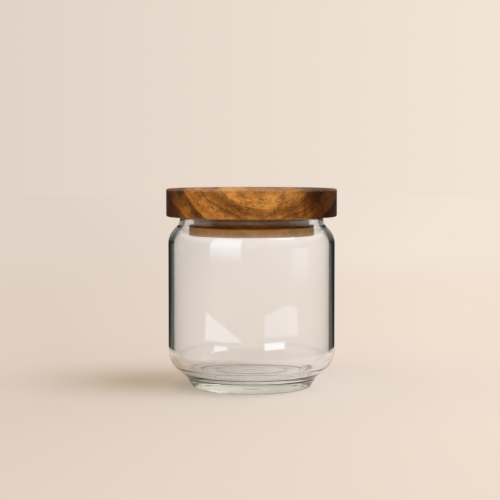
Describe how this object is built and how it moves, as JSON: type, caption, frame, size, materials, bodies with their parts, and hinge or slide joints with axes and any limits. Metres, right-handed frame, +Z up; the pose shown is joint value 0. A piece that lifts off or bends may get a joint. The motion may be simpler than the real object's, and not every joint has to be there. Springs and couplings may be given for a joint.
{
  "type": "storage jar",
  "caption": "Round clear glass pantry jar with a stepped foot, closed by a press-in turned wooden lid with a finned clear seal ring.",
  "frame": {"origin": "centre of the foot's resting ring, on the surface that the jar stands on", "axes": "+Z up along the jar's axis of turning, +Y away from the viewer of the picture, +X to the viewer's right"},
  "size_m": [0.1, 0.1, 0.1165],
  "materials": {
    "clear_glass": "polished clear soda-lime glass, faint green-grey in the thick base",
    "clear_silicone": "clear satin silicone",
    "oiled_acacia": "oiled acacia, satin, open pores and dark growth bands"
  },
  "bodies": {
    "jar": {"glass_jar": "clear_glass"},
    "seal": {"seal_ring": "clear_silicone"},
    "lid": {"wooden_lid": "oiled_acacia"}
  },
  "joints": [
    {"name": "lid_lift", "type": "slide", "parent": "jar", "child": "seal", "axis": [0, 0, 1], "range_m": [0, 0.06]},
    {"name": "lid_turn", "type": "hinge", "parent": "seal", "child": "lid", "pos_m": [0, 0, 0.1003], "axis": [0, 0, 1], "continuous": true}
  ]
}
